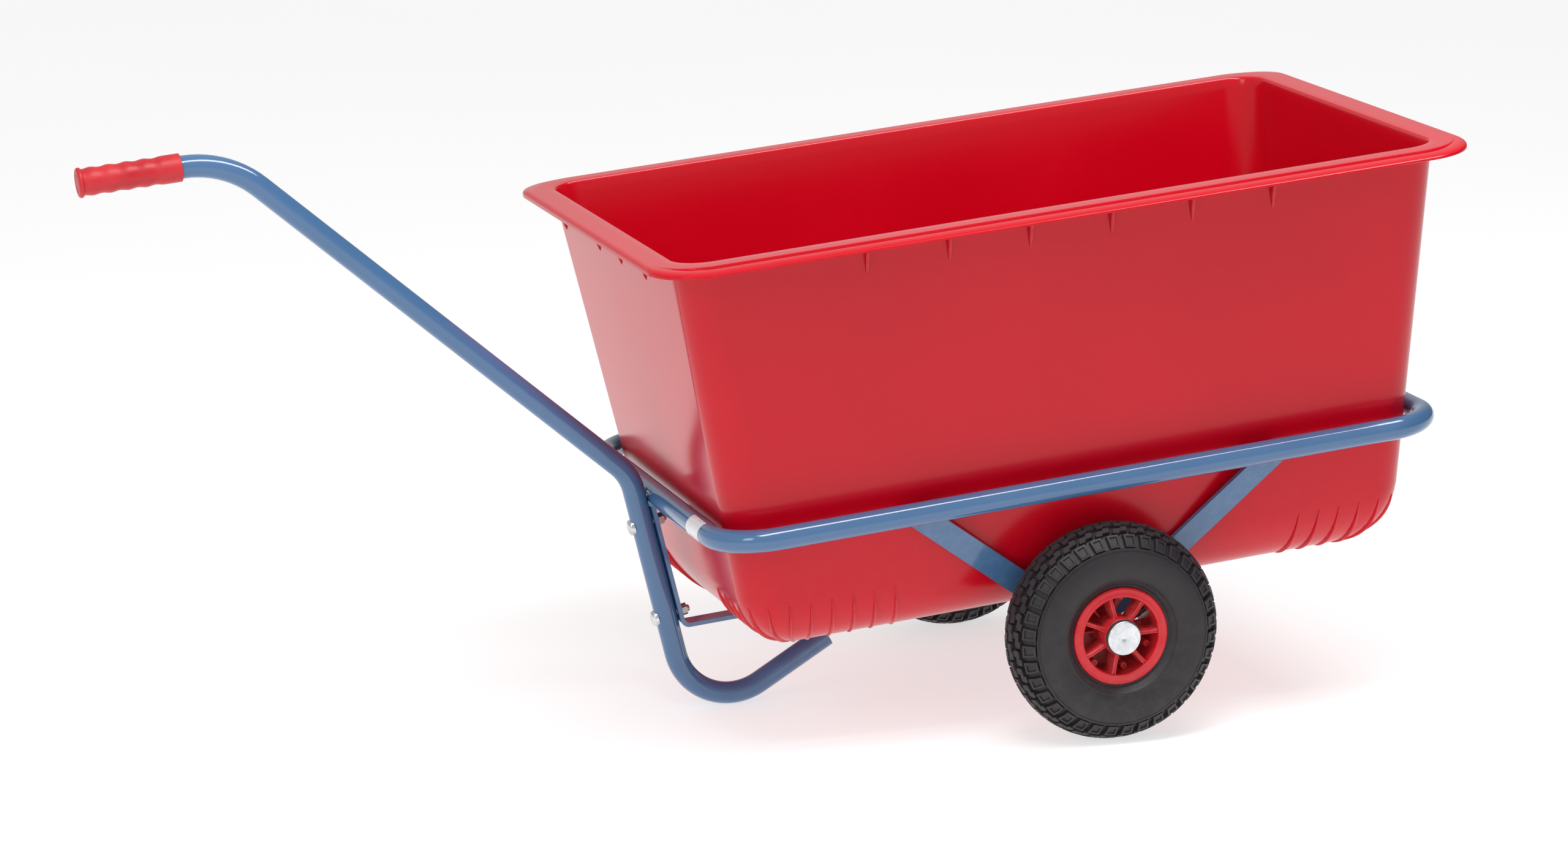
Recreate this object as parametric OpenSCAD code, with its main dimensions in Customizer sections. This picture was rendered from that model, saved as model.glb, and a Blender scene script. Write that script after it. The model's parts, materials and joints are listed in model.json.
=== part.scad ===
// Two-wheeled tub hand cart: a moulded tub in a tube ring, on two pneumatic wheels, with a one-hand drawbar.
// Row frame: +X towards the rear, +Y towards the right-hand wheel, +Z up, and Z = 0 on the floor.
// The chassis is drawn level about the axle centre (u = along, v = across, w = up) and then leans nose-down
// until the drawbar's foot touches the floor.

/* [Tub] */
// Length of the rim, outside
rim_l = 1005; // [850:5:1200]
// Width of the rim, outside
rim_w = 665; // [560:5:800]
// Height of the rim's top above the axle centre
rim_h = 514; // [420:1:620]
// Width of the flat rim at the two ends
rim_end_flat = 36; // [20:1:60]
// Width of the rim along the two sides
rim_side_flat = 49; // [25:1:70]
// Depth of the turned-down edge of the rim
rim_lip = 9; // [5:0.5:20]
// Outer corner radius of the rim
rim_corner_r = 66; // [60:1:100]
// Wall thickness of the moulding
tub_wall = 4; // [2.5:0.5:6]
// Lean of the end walls, in degrees
tub_end_taper = 7.3; // [2:0.1:12]
// Lean of the side walls, in degrees
tub_side_taper = 7; // [1:0.1:8]
// Radius of the upright corners, outside
tub_corner_r = 44; // [30:1:60]
// Radius where the walls meet the floor, outside
tub_bottom_r = 76; // [50:1:90]
// Set-back of the tub and ring centre from the axle (negative is forward)
load_offset = -8.5; // [-40:0.5:0]

/* [Ring frame] */
// Outer diameter of the ring's tube
rail_od = 26.9; // [22:0.1:34]
// Wall thickness of the frame tubes
frame_tube_wall = 2.3; // [1.5:0.1:3.2]
// Height of the ring's centre line above the axle centre
ring_h = 179; // [150:1:230]
// Bend radius of the ring's corners, on the centre line
ring_bend_r = 65; // [55:1:90]
// Clear gap between the ring and the tub's side wall
ring_side_gap = 18.5; // [3:0.5:30]
// Clear gap between the ring and the tub's end wall
ring_end_gap = 5; // [3:0.5:30]

/* [Drawbar] */
// Outer diameter of the drawbar's tube
pole_od = 26.9; // [22:0.1:34]
// Lean of the drawbar's leg from upright, in degrees
leg_lean = 8.3; // [4:0.1:14]
// Height of the knee above the axle centre
knee_h = 210; // [190:1:240]
// Slope of the long straight, in degrees
pole_slope = 45.9; // [35:0.1:60]
// Height of the handle above the axle centre
handle_h = 658; // [500:1:760]
// Length from the handle bend's corner to the end of the grip
handle_l = 173; // [165:1:220]
// Bend radius below the handle
handle_bend_r = 120; // [80:1:150]
// Bend radius of the knee
knee_bend_r = 60; // [40:1:80]
// Bend radius of the foot
foot_bend_r = 70.5; // [50:0.5:90]
// Depth of the foot bend's centre below the axle centre
foot_drop = 8.2; // [0:0.5:20]
// Upward slope of the foot's tail, in degrees
tail_slope = 25.6; // [10:0.1:40]
// Length of the straight tail
tail_l = 99; // [40:1:120]

/* [Grip] */
// Length of the grip
grip_l = 120; // [100:1:140]
// Diameter of the grip at the crest of its waves
grip_od = 33; // [32:0.1:40]
// Depth of the finger waves
grip_wave = 1; // [0.4:0.1:2]
// Thickness of the grip's closed end
grip_end_t = 3.5; // [2:0.5:6]
// Number of finger waves
grip_waves = 4; // [3:1:5]
// Diameter of the flange at the grip's end
grip_flange_od = 35; // [34:0.1:44]
// Thickness of that flange
grip_flange_t = 5; // [4:0.5:8]

/* [Axle and struts] */
// Diameter of the axle
axle_d = 20; // [16:0.5:25]
// Width of the flat bars
flat_w = 30; // [20:1:40]
// Thickness of the flat bars
flat_t = 5; // [4:0.5:8]
// Width of the cradle strap
strap_w = 25; // [20:1:40]
// Distance between the two struts of a side at the ring
strut_spread = 460; // [380:1:540]
// Set-back of the struts' tops from the axle, as a pair
strut_offset = 6; // [-30:1:30]
// Depth below the axle centre at which the strut lines meet
strut_meet = 18; // [5:0.5:25]
// Distance of the struts' centre plane from the cart's centre plane, at the axle
strut_foot_v = 213; // [205:1:218]
// Inward set of the struts' tops from the ring tube's centre line
strut_top_inset = 10; // [0:0.5:13]
// Bend radius of the strap, on its centre line
strap_bend_r = 9; // [6:0.5:16]
// Clear gap under the tub's floor
seat_gap = 0.3; // [0.2:0.1:1]

/* [Wheels] */
// Diameter of the tyre
tyre_od = 260; // [240:1:280]
// Width of the tyre
tyre_w = 85; // [70:1:86]
// Thickness of the tyre's casing
casing_t = 6; // [4:0.5:8]
// Distance between the two wheel centre planes
track = 563.6; // [560:0.2:580]
// Diameter of the wheel rim's flange
flange_d = 117.3; // [110:0.1:122]
// Diameter of the wheel rim's barrel, where the tyre sits
barrel_d = 100; // [96:0.5:104]
// Distance of the rim's face from the wheel's centre plane
flange_z = 33.3; // [31:0.1:34]
// Width of the flange, axially
flange_t = 7.6; // [6:0.1:9]
// Wall thickness of the moulded rim
rim_wall = 3.5; // [2.5:0.5:5]
// Number of wide spokes
spokes = 7; // [5:1:9]
// Width of a wide spoke
spoke_w = 5; // [4:0.5:8]
// Width of a thin spoke
rib_w = 2.5; // [2:0.5:4]
// Length of the hub
hub_l = 75; // [70:1:80]
// Diameter of the hub
hub_d = 44; // [40:0.5:50]
// Outer diameter of the hub bushes
bush_od = 26; // [25:0.5:30]
// Length of one hub bush
bush_l = 20; // [12:1:30]
// Length of one thrust collar
collar_l = 8; // [5:0.5:12]
// Wall thickness of the thrust collars
collar_wall = 5; // [3:0.5:8]
// Radial running clearance of the wheel on the axle
axle_play = 0.08; // [0.02:0.01:0.1]

/* [Fasteners] */
// Diameter of the drawbar bolts
bolt_d = 8; // [6:1:10]
// Distance of the first bolt below the ring, along the leg
bolt_first = 28; // [26:1:45]
// Distance between the two drawbar bolts
bolt_pitch = 117; // [80:1:118]
// Diameter of the hub caps
cap_d = 40.8; // [36:0.2:50]
// Height of the hub caps
cap_t = 4.4; // [3:0.2:8]
// Thickness of the hub washers
washer_t = 2; // [1:0.5:3]

/* [Hidden] */
$fn = 96;
// How far a cutter runs past the face it cuts
cut = 1;

tub_red = [0.80, 0.10, 0.14];
frame_blue = [0.24, 0.42, 0.62];
zinc = [0.78, 0.79, 0.80];
black = [0.08, 0.08, 0.08];
left = -1;
right = 1;

// Lengths of swept runs are whole hundredths, so that neighbouring runs share their end faces
function to_hundredth(a) = round(a * 100) / 100;
bend_swell = 0.05;
bend_lap = 0.5;

// Seats, measured up from the axle centre
axle_r = axle_d / 2;
bearer_top = axle_r + flat_t;
strap_top = bearer_top + flat_t;
floor_w = strap_top + seat_gap;

// Half sizes of the tub's outside at a height w; the walls start at the inner edge of the rim
function tub_half_l(w) = rim_l / 2 - rim_end_flat + tub_wall - (rim_h - w) * tan(tub_end_taper);
function tub_half_w(w) = rim_w / 2 - rim_side_flat + tub_wall - (rim_h - w) * tan(tub_side_taper);

// Centre line of the ring, half sizes
rail_r = rail_od / 2;
ring_half_l = to_hundredth(tub_half_l(ring_h) + ring_end_gap + rail_r);
ring_half_w = to_hundredth(tub_half_w(ring_h) + ring_side_gap + rail_r);
ring_front_u = load_offset - ring_half_l;

// Centre line of the drawbar: the leg lies against the ring's front rail
pole_r = pole_od / 2;
leg_dir = [sin(leg_lean), -cos(leg_lean)];
leg_rear = [cos(leg_lean), sin(leg_lean)];
leg_top = [ring_front_u, ring_h] - leg_rear * (rail_r + pole_r);
foot_run = (leg_top[1] + foot_bend_r * leg_rear[1] + foot_drop) / cos(leg_lean);
foot_centre = leg_top + leg_dir * foot_run + leg_rear * foot_bend_r;
function leg_at(w) = leg_top + leg_dir * ((leg_top[1] - w) / cos(leg_lean));
knee = leg_at(knee_h);
handle_bend = [knee[0] - (handle_h - knee_h) / tan(pole_slope), handle_h];
grip_end_u = handle_bend[0] - handle_l;
pole_start = [grip_end_u + grip_end_t, handle_h];
tail_dir = [cos(tail_slope), sin(tail_slope)];
tail_start = foot_centre + foot_bend_r * [tail_dir[1], -tail_dir[0]];
foot_turn = 90 - leg_lean + tail_slope;
foot_corner = tail_start - tail_dir * foot_bend_r * tan(foot_turn / 2);
pole_turns = [-pole_slope, pole_slope + leg_lean - 90, foot_turn];
pole_radii = [handle_bend_r, knee_bend_r, foot_bend_r];
pole_setbacks = [for (i = [0 : 2]) pole_radii[i] * tan(abs(pole_turns[i]) / 2)];
pole_runs = [for (run = [
    handle_bend[0] - pole_start[0] - pole_setbacks[0],
    norm(knee - handle_bend) - pole_setbacks[0] - pole_setbacks[1],
    norm(foot_corner - knee) - pole_setbacks[1] - pole_setbacks[2],
    tail_l]) to_hundredth(run)];

// Centre line of the cradle strap, behind the leg and then under the tub to the axle
strap_off = pole_r + flat_t / 2;
strap_w_mid = strap_top - flat_t / 2;
strap_line_top = leg_top + leg_rear * strap_off + leg_dir * rail_r * 0.45;
strap_corner = strap_line_top + leg_dir * ((strap_line_top[1] - strap_w_mid) / cos(leg_lean));
strap_turn = 90 - leg_lean;
strap_setback = strap_bend_r * tan(strap_turn / 2);
strap_runs = [to_hundredth(norm(strap_corner - strap_line_top) - strap_setback),
    to_hundredth(flat_w / 2 - strap_corner[0] - strap_setback)];

// Stance: the foot's tube touches the floor when the chassis leans by this angle
axle_h = tyre_od / 2;
foot_reach = norm(foot_centre);
lean = atan2(foot_centre[1], -foot_centre[0])
    + asin((axle_h - foot_bend_r - pole_r) / foot_reach);

grip_wave_start = grip_flange_t + 1;

// The row's origin is below the middle of the whole length
grip_edge_r = 3;
front_x = (grip_end_u + grip_edge_r) * cos(lean)
    - (handle_h + grip_flange_od / 2 - grip_edge_r) * sin(lean) - grip_edge_r;
rear_x = (load_offset + rim_l / 2) * cos(lean) - (rim_h - rim_lip) * sin(lean);
axle_x = -(front_x + rear_x) / 2;

// Struts: each side's pair lies in one plane that leans outwards from the axle to the ring
strut_lean = atan((ring_half_w - strut_top_inset - strut_foot_v) / ring_h);
strut_rise = ring_h / cos(strut_lean);
strut_split = -(axle_r + 3);
strut_bottom = -(axle_r + 6);

// Wheel
hub_end = hub_l / 2;
side_play = 0.3;
washer_z = hub_end + side_play;
cap_z = washer_z + washer_t;
cap_skin = 1.2;
cap_collar = 2;
cap_dimple = 0.6;
cap_dimple_r = 2.5;
axle_end_z = cap_z + cap_t - cap_skin - 0.6;
barrel_r = barrel_d / 2;
barrel_in = barrel_r - rim_wall;
flange_in = barrel_in;
bush_id = axle_d + 2 * axle_play;
spoke_phase = 3;
rib_phase = spoke_phase + 180 / spokes;
spoke_back = 8;
spoke_face = flange_z - 2.5;
rib_depth = 24;
screw_pcr = barrel_in - 3.5;
screw_boss_r = 5;
screw_boss_h = 14;
screw_d = 5;
screw_head_d = 8.5;
screw_head_h = 3;
screw_bite = 10;
tube_fit = 0.3;
tube_wall = 1.8;
tyre_section_r = tyre_w / 2;
tyre_centre_r = tyre_od / 2 - tyre_section_r;
tube_r = tyre_section_r - casing_t - tube_fit;
bead_fit = 0.3;
bead_gap = 13;
valve_d = 8;
valve_cap_d = 9.5;
valve_tip_r = 33;
valve_cap_l = 13;
// The valve ends where its edge meets the curve of the inner tube
valve_foot_r = sqrt(pow(tyre_centre_r - tube_r, 2) - pow(valve_d / 2, 2));

// Drawbar fasteners
hole_fit = 0.25;
bolt_head_d = 2.4 * bolt_d;
bolt_head_h = 0.5 * bolt_d;
nut_af = 1.625 * bolt_d;
nut_h = 0.8 * bolt_d;
bolt_washer_d = 2 * bolt_d;
bolt_washer_t = 1.6;
nut_base = pole_r + flat_t + bolt_washer_t;
bolt_tip = nut_base + nut_h + 3;

// Label on the ring's front rail
label_l = 30;
label_t = 0.3;
label_arc = 110;
label_from = 97.5;
label_corner_gap = 2;

// ---- helpers ----

// Puts what is drawn level about the axle centre into the leaning chassis
module chassis() {
    translate([axle_x, 0, axle_h]) rotate([0, -lean, 0]) children();
}

// Puts a side view drawn in (u, w) upright in the chassis
module side_view() {
    chassis() rotate([90, 0, 0]) children();
}

// Puts a wheel's own frame (z outwards along the axle) on the left or right side
module wheel_at(side) {
    translate([axle_x, side * track / 2, axle_h])
        mirror([0, side > 0 ? 1 : 0, 0]) rotate([90, 0, 0]) children();
}

// Sweeps a section (x across the path in its plane, y out of the plane) along straights and true bends.
// The path starts at the origin along +x; a positive turn is to the left. The second child is the bends'
// section: a hair larger than the first, and lapped over the straights, so that they join as one solid.
module sweep(runs, turns, radii, i = 0) {
    rotate([90, 0, 90]) linear_extrude(runs[i]) children(0);
    if (i < len(turns)) {
        hand = sign(turns[i]);
        r = radii[i];
        lap = bend_lap / r * 180 / PI;
        translate([runs[i], 0, 0]) {
            mirror([0, hand < 0 ? 1 : 0, 0]) translate([0, r, 0]) rotate([0, 0, -90 - lap])
                rotate_extrude(angle = abs(turns[i]) + 2 * lap) translate([r, 0]) children(1);
            translate([0, hand * r, 0]) rotate([0, 0, turns[i]]) translate([0, -hand * r, 0])
                sweep(runs, turns, radii, i + 1) {
                    children(0);
                    children(1);
                }
        }
    }
}

module rounded_plate(half_l, half_w, r, h) {
    linear_extrude(h) union() {
        square([2 * half_l, 2 * (half_w - r)], center = true);
        square([2 * (half_l - r), 2 * half_w], center = true);
        for (x = [-1, 1], y = [-1, 1]) translate([x * (half_l - r), y * (half_w - r)]) circle(r);
    }
}

// ---- tub ----

// Solid body of the tub's outside or, with an inset, of its inside
module tub_body(inset, top) {
    steps = 8;
    low = floor_w + inset;
    r_low = tub_bottom_r - inset;
    r_up = tub_corner_r - inset;
    hull() for (i = [0 : steps + 1]) {
        a = min(i, steps) * 90 / steps;
        w = i > steps ? top : low + r_low * (1 - cos(a));
        pull = r_low * (1 - sin(a)) + inset;
        r = max(r_up * sin(a), 4);
        for (x = [-1, 1], y = [-1, 1])
            translate([x * (tub_half_l(w) - pull - r), y * (tub_half_w(w) - pull - r), w])
                cylinder(h = 0.01, r = r, $fn = 32);
    }
}

module tub() {
    color(tub_red) chassis() translate([load_offset, 0, 0]) difference() {
        union() {
            tub_body(0, rim_h - tub_wall);
            translate([0, 0, rim_h - rim_lip]) difference() {
                rounded_plate(rim_l / 2, rim_w / 2, rim_corner_r, rim_lip);
                translate([0, 0, -cut])
                    rounded_plate(rim_l / 2 - tub_wall, rim_w / 2 - tub_wall, rim_corner_r - tub_wall,
                        rim_lip - tub_wall + cut);
            }
        }
        tub_body(tub_wall, rim_h + cut);
    }
}

// ---- frame ----

module ring_loop() {
    l = ring_half_l - ring_bend_r;
    w = ring_half_w - ring_bend_r;
    for (s = [-1, 1]) {
        translate([-l, s * ring_half_w, 0]) rotate([0, 90, 0]) linear_extrude(2 * l) children();
        translate([s * ring_half_l, w, 0]) rotate([90, 0, 0]) linear_extrude(2 * w) children();
    }
    for (q = [0 : 3])
        translate([(q == 0 || q == 3 ? 1 : -1) * l, (q < 2 ? 1 : -1) * w, 0]) rotate([0, 0, 90 * q])
            rotate_extrude(angle = 90) translate([ring_bend_r, 0]) children();
}

module tube_section(od, wall) {
    difference() {
        circle(od / 2);
        circle(od / 2 - wall);
    }
}

module ring_frame() {
    color(frame_blue) chassis() translate([load_offset, 0, ring_h]) ring_loop() tube_section(rail_od, frame_tube_wall);
}

// One flat bar from the axle up to the ring; end is -1 at the front, 1 at the rear
module strut(side, end) {
    reach = [strut_offset + end * strut_spread / 2, strut_rise + strut_meet];
    color(frame_blue) chassis() difference() {
        translate([0, side * strut_foot_v, 0]) rotate([-side * strut_lean, 0, 0]) intersection() {
            translate([0, 0, -strut_meet]) rotate([0, atan2(reach[0], reach[1]), 0])
                translate([-flat_w / 2, -flat_t / 2, -flat_w]) cube([flat_w, flat_t, norm(reach) + flat_w]);
            translate([end < 0 ? strut_split - rim_l : strut_split, -flat_t, strut_bottom])
                cube([rim_l, 2 * flat_t, strut_rise - strut_bottom]);
        }
        axle_bar(axle_r);
        translate([load_offset, 0, ring_h]) ring_loop() circle(rail_r);
    }
}

module axle_bar(r) {
    half = track / 2 + axle_end_z;
    translate([0, half, 0]) rotate([90, 0, 0]) cylinder(h = 2 * half, r = r);
}

module axle() {
    color(zinc) chassis() axle_bar(axle_r);
}

module axle_bearer() {
    half = strut_foot_v - flat_t;
    color(frame_blue) chassis() translate([-flat_w / 2, -half, axle_r]) cube([flat_w, 2 * half, flat_t]);
}

// Welded thrust collars that the inner washers run against
module axle_collars() {
    color(frame_blue) for (side = [left, right]) wheel_at(side)
        translate([0, 0, -cap_z - collar_l]) difference() {
            cylinder(h = collar_l, r = axle_r + collar_wall);
            translate([0, 0, -cut]) cylinder(h = collar_l + 2 * cut, r = axle_r);
        }
}

// Bolt axes: from the leg's front to the strap's back, z along the axis from the tube's centre
module at_bolts() {
    for (i = [0, 1]) {
        p = leg_top + leg_dir * (bolt_first + i * bolt_pitch);
        translate([p[0], 0, p[1]]) rotate([0, 90 - leg_lean, 0]) children();
    }
}

module bolt_holes(reach) {
    at_bolts() translate([0, 0, -reach]) cylinder(h = 2 * reach, r = bolt_d / 2 + hole_fit);
}

module cradle_strap() {
    color(frame_blue) difference() {
        side_view() translate([strap_line_top[0], strap_line_top[1], 0]) rotate([0, 0, -strap_turn])
            sweep(strap_runs, [strap_turn], [strap_bend_r]) {
                square([flat_t, strap_w], center = true);
                square([flat_t + 2 * bend_swell, strap_w + 2 * bend_swell], center = true);
            }
        chassis() translate([load_offset, 0, ring_h]) ring_loop() circle(rail_r);
        chassis() bolt_holes(pole_r + 2 * flat_t);
    }
}

module drawbar() {
    color(frame_blue) difference() {
        side_view() translate([pole_start[0], pole_start[1], 0])
            sweep(pole_runs, pole_turns, pole_radii) {
                tube_section(pole_od, frame_tube_wall);
                tube_section(pole_od + 2 * bend_swell, frame_tube_wall + 2 * bend_swell);
            }
        chassis() bolt_holes(pole_r + 2 * flat_t);
    }
}

module drawbar_bolts() {
    color(zinc) chassis() at_bolts() {
        translate([0, 0, -pole_r - bolt_head_h]) cylinder(h = bolt_head_h, r = bolt_head_d / 2);
        translate([0, 0, -pole_r]) cylinder(h = pole_r + bolt_tip, r = bolt_d / 2);
    }
}

module drawbar_washers() {
    color(zinc) chassis() at_bolts() translate([0, 0, pole_r + flat_t]) difference() {
        cylinder(h = bolt_washer_t, r = bolt_washer_d / 2);
        translate([0, 0, -cut]) cylinder(h = bolt_washer_t + 2 * cut, r = bolt_d / 2);
    }
}

module drawbar_nuts() {
    color(zinc) chassis() at_bolts() translate([0, 0, nut_base]) difference() {
        cylinder(h = nut_h, r = nut_af / 2 / cos(30), $fn = 6);
        translate([0, 0, -cut]) cylinder(h = nut_h + 2 * cut, r = bolt_d / 2);
    }
}

// Moulded grip: waves along the hand, a flange at its closed end
module grip() {
    steps = 12 * grip_waves;
    run = grip_l - grip_wave_start;
    flange_r = grip_flange_od / 2;
    rounding = [for (a = [0 : 15 : 90]) [flange_r - grip_edge_r * (1 - sin(a)), grip_edge_r * (1 - cos(a))]];
    hand = [for (i = [0 : steps])
        [(grip_od - grip_wave * (1 - cos(360 * grip_waves * i / steps))) / 2, grip_wave_start + run * i / steps]];
    profile = concat([[0, 0]], rounding, [[flange_r, grip_flange_t]], hand,
        [[pole_r, grip_l], [pole_r, grip_end_t], [0, grip_end_t]]);
    color(tub_red) chassis() translate([grip_end_u, 0, handle_h]) rotate([0, 90, 0])
        rotate_extrude() polygon(profile);
}

// Blank label, wrapped over the top and front of the ring's front rail
module label_plate() {
    reach = 3 * rail_r;
    color("white") chassis()
        translate([ring_front_u, label_l + label_corner_gap - (ring_half_w - ring_bend_r), ring_h])
        rotate([90, 0, 0]) rotate([0, 0, label_from]) linear_extrude(label_l) difference() {
            intersection() {
                circle(rail_r + label_t);
                polygon([[0, 0], [reach, 0], reach * [cos(label_arc / 2), sin(label_arc / 2)],
                    reach * [cos(label_arc), sin(label_arc)]]);
            }
            circle(rail_r);
        }
}

// ---- wheel ----

module tyre() {
    color(black) rotate_extrude() difference() {
        translate([tyre_centre_r, 0]) circle(tyre_section_r);
        translate([tyre_centre_r, 0]) circle(tyre_section_r - casing_t);
        translate([0, -bead_gap]) square([tyre_centre_r, 2 * bead_gap]);
        translate([0, -tyre_w]) square([barrel_r + bead_fit, 2 * tyre_w]);
        for (s = [0, 1]) mirror([0, s]) translate([0, flange_z - flange_t - bead_fit])
            square([flange_d / 2 + bead_fit, tyre_w]);
    }
}

module inner_tube() {
    color(black) rotate_extrude() translate([tyre_centre_r, 0]) difference() {
        circle(tube_r);
        circle(tube_r - tube_wall);
    }
}

// Half of the rim from the wheel's centre plane outwards: barrel, flange and hub
module rim_shell() {
    rotate_extrude() {
        translate([barrel_in, 0]) square([rim_wall, flange_z - flange_t]);
        translate([flange_in, flange_z - flange_t]) square([flange_d / 2 - flange_in, flange_t]);
        translate([bush_od / 2, 0]) square([(hub_d - bush_od) / 2, hub_end]);
    }
}

module spoke_bar(phase, width, low, high) {
    for (i = [0 : spokes - 1]) rotate([0, 0, phase + i * 360 / spokes])
        translate([hub_d / 2 - 1, -width / 2, low]) cube([barrel_in - hub_d / 2 + 2, width, high - low]);
}

module screw_places() {
    for (i = [1 : spokes - 1]) rotate([0, 0, rib_phase + i * 360 / spokes])
        translate([screw_pcr, 0, 0]) children();
}

module valve_place() {
    rotate([0, 0, rib_phase]) rotate([0, 90, 0]) children();
}

module valve_hole() {
    valve_place() translate([0, 0, hub_d / 2]) cylinder(h = tyre_centre_r, r = valve_d / 2);
}

module outer_rim() {
    color(tub_red) difference() {
        union() {
            rim_shell();
            spoke_bar(spoke_phase, spoke_w, spoke_back, spoke_face);
            screw_places() cylinder(h = screw_boss_h, r = screw_boss_r);
        }
        screw_places() translate([0, 0, -cut]) cylinder(h = screw_bite + cut, r = screw_d / 2);
        valve_hole();
    }
}

module inner_rim() {
    color(tub_red) difference() {
        union() {
            mirror([0, 0, 1]) rim_shell();
            difference() {
                spoke_bar(rib_phase, rib_w, -rib_depth, 0);
                rotate([0, 0, rib_phase]) translate([0, -2 * rib_w, -hub_l]) cube([barrel_in - 0.5, 4 * rib_w, 2 * hub_l]);
            }
            mirror([0, 0, 1]) screw_places() cylinder(h = screw_boss_h, r = screw_boss_r);
        }
        screw_places() translate([0, 0, -rib_depth - cut]) cylinder(h = rib_depth + 2 * cut, r = screw_d / 2);
        screw_places() translate([0, 0, -rib_depth - cut])
            cylinder(h = rib_depth + cut - screw_boss_h, r = screw_head_d / 2 + hole_fit);
        mirror([0, 0, 1]) translate([0, 0, -hub_l]) cylinder(h = 2 * hub_l, r = bush_od / 2);
        valve_hole();
    }
}

module rim_screws() {
    color(zinc) screw_places() {
        translate([0, 0, -screw_boss_h - screw_head_h]) cylinder(h = screw_head_h, r = screw_head_d / 2);
        translate([0, 0, -screw_boss_h]) cylinder(h = screw_boss_h + screw_bite, r = screw_d / 2);
    }
}

module hub_bushes() {
    color([0.85, 0.85, 0.82]) for (s = [0, 1]) mirror([0, 0, s]) translate([0, 0, hub_end - bush_l])
        difference() {
            cylinder(h = bush_l, r = bush_od / 2);
            translate([0, 0, -cut]) cylinder(h = bush_l + 2 * cut, r = bush_id / 2);
        }
}

module valve() {
    color(black) valve_place() translate([0, 0, valve_tip_r])
        cylinder(h = valve_foot_r - valve_tip_r, r = valve_d / 2);
}

module valve_cap() {
    color(black) valve_place() translate([0, 0, valve_tip_r - valve_cap_l / 2]) difference() {
        cylinder(h = valve_cap_l, r = valve_cap_d / 2);
        translate([0, 0, valve_cap_l / 2]) cylinder(h = valve_cap_l, r = valve_d / 2);
    }
}

module hub_washer(od) {
    difference() {
        cylinder(h = washer_t, r = od / 2);
        translate([0, 0, -cut]) cylinder(h = washer_t + 2 * cut, r = axle_r + axle_play);
    }
}

module inner_washer() {
    color(zinc) translate([0, 0, -cap_z]) hub_washer(hub_d - 6);
}

module outer_washer() {
    color(black) translate([0, 0, washer_z]) hub_washer(cap_d + 2);
}

// Pressed cap: a shallow cup with a gripping collar inside and a centre dimple
module hub_cap() {
    edge = 1.6;
    color(zinc) translate([0, 0, cap_z]) rotate_extrude() difference() {
        union() {
            square([cap_d / 2, cap_t - edge]);
            square([cap_d / 2 - edge, cap_t]);
            translate([cap_d / 2 - edge, cap_t - edge]) circle(edge);
        }
        translate([axle_r + cap_collar, -cut])
            square([cap_d / 2 - cap_skin - axle_r - cap_collar, cap_t - cap_skin + cut]);
        translate([0, -cut]) square([axle_r, cap_t - cap_skin + cut]);
        translate([0, cap_t - cap_dimple]) square([cap_dimple_r, cut]);
    }
}

tub();
ring_frame();
strut(left, -1);  // front_strut_left
strut(left, 1);  // rear_strut_left
strut(right, -1);  // front_strut_right
strut(right, 1);  // rear_strut_right
axle();
axle_bearer();
axle_collars();
cradle_strap();
drawbar();
grip();
drawbar_bolts();
drawbar_washers();
drawbar_nuts();
label_plate();
wheel_at(left) tyre();  // tyre_left
wheel_at(right) tyre();  // tyre_right
wheel_at(left) inner_tube();  // inner_tube_left
wheel_at(right) inner_tube();  // inner_tube_right
wheel_at(left) outer_rim();  // outer_rim_left
wheel_at(right) outer_rim();  // outer_rim_right
wheel_at(left) inner_rim();  // inner_rim_left
wheel_at(right) inner_rim();  // inner_rim_right
wheel_at(left) rim_screws();  // rim_screws_left
wheel_at(right) rim_screws();  // rim_screws_right
wheel_at(left) hub_bushes();  // hub_bushes_left
wheel_at(right) hub_bushes();  // hub_bushes_right
wheel_at(left) valve();  // valve_left
wheel_at(right) valve();  // valve_right
wheel_at(left) valve_cap();  // valve_cap_left
wheel_at(right) valve_cap();  // valve_cap_right
wheel_at(left) inner_washer();  // inner_washer_left
wheel_at(right) inner_washer();  // inner_washer_right
wheel_at(left) outer_washer();  // outer_washer_left
wheel_at(right) outer_washer();  // outer_washer_right
wheel_at(left) hub_cap();  // hub_cap_left
wheel_at(right) hub_cap();  // hub_cap_right
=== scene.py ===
import json
import math

import bmesh
import bpy
from mathutils import Matrix, Vector


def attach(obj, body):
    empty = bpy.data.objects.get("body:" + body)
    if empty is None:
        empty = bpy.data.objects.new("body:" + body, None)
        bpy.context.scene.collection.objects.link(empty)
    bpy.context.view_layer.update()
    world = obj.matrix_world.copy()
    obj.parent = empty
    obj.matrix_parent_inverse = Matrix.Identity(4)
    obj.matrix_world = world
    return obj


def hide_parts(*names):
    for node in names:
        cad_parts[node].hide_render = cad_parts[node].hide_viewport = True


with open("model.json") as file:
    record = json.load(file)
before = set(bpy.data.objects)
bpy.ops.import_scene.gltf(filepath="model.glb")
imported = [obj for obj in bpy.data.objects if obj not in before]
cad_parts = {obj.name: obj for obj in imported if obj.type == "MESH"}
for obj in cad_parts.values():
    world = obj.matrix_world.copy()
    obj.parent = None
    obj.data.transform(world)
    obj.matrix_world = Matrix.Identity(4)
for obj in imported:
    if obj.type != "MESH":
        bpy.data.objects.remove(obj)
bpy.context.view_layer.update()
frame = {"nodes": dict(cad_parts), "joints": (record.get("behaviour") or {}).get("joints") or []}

# Sizes below are in millimetres and degrees; MM brings a length into metres.
MM = 0.001
LEFT = -1
RIGHT = 1
FRONT = -1
REAR = 1


# ---- where the pieces sit ----

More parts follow.
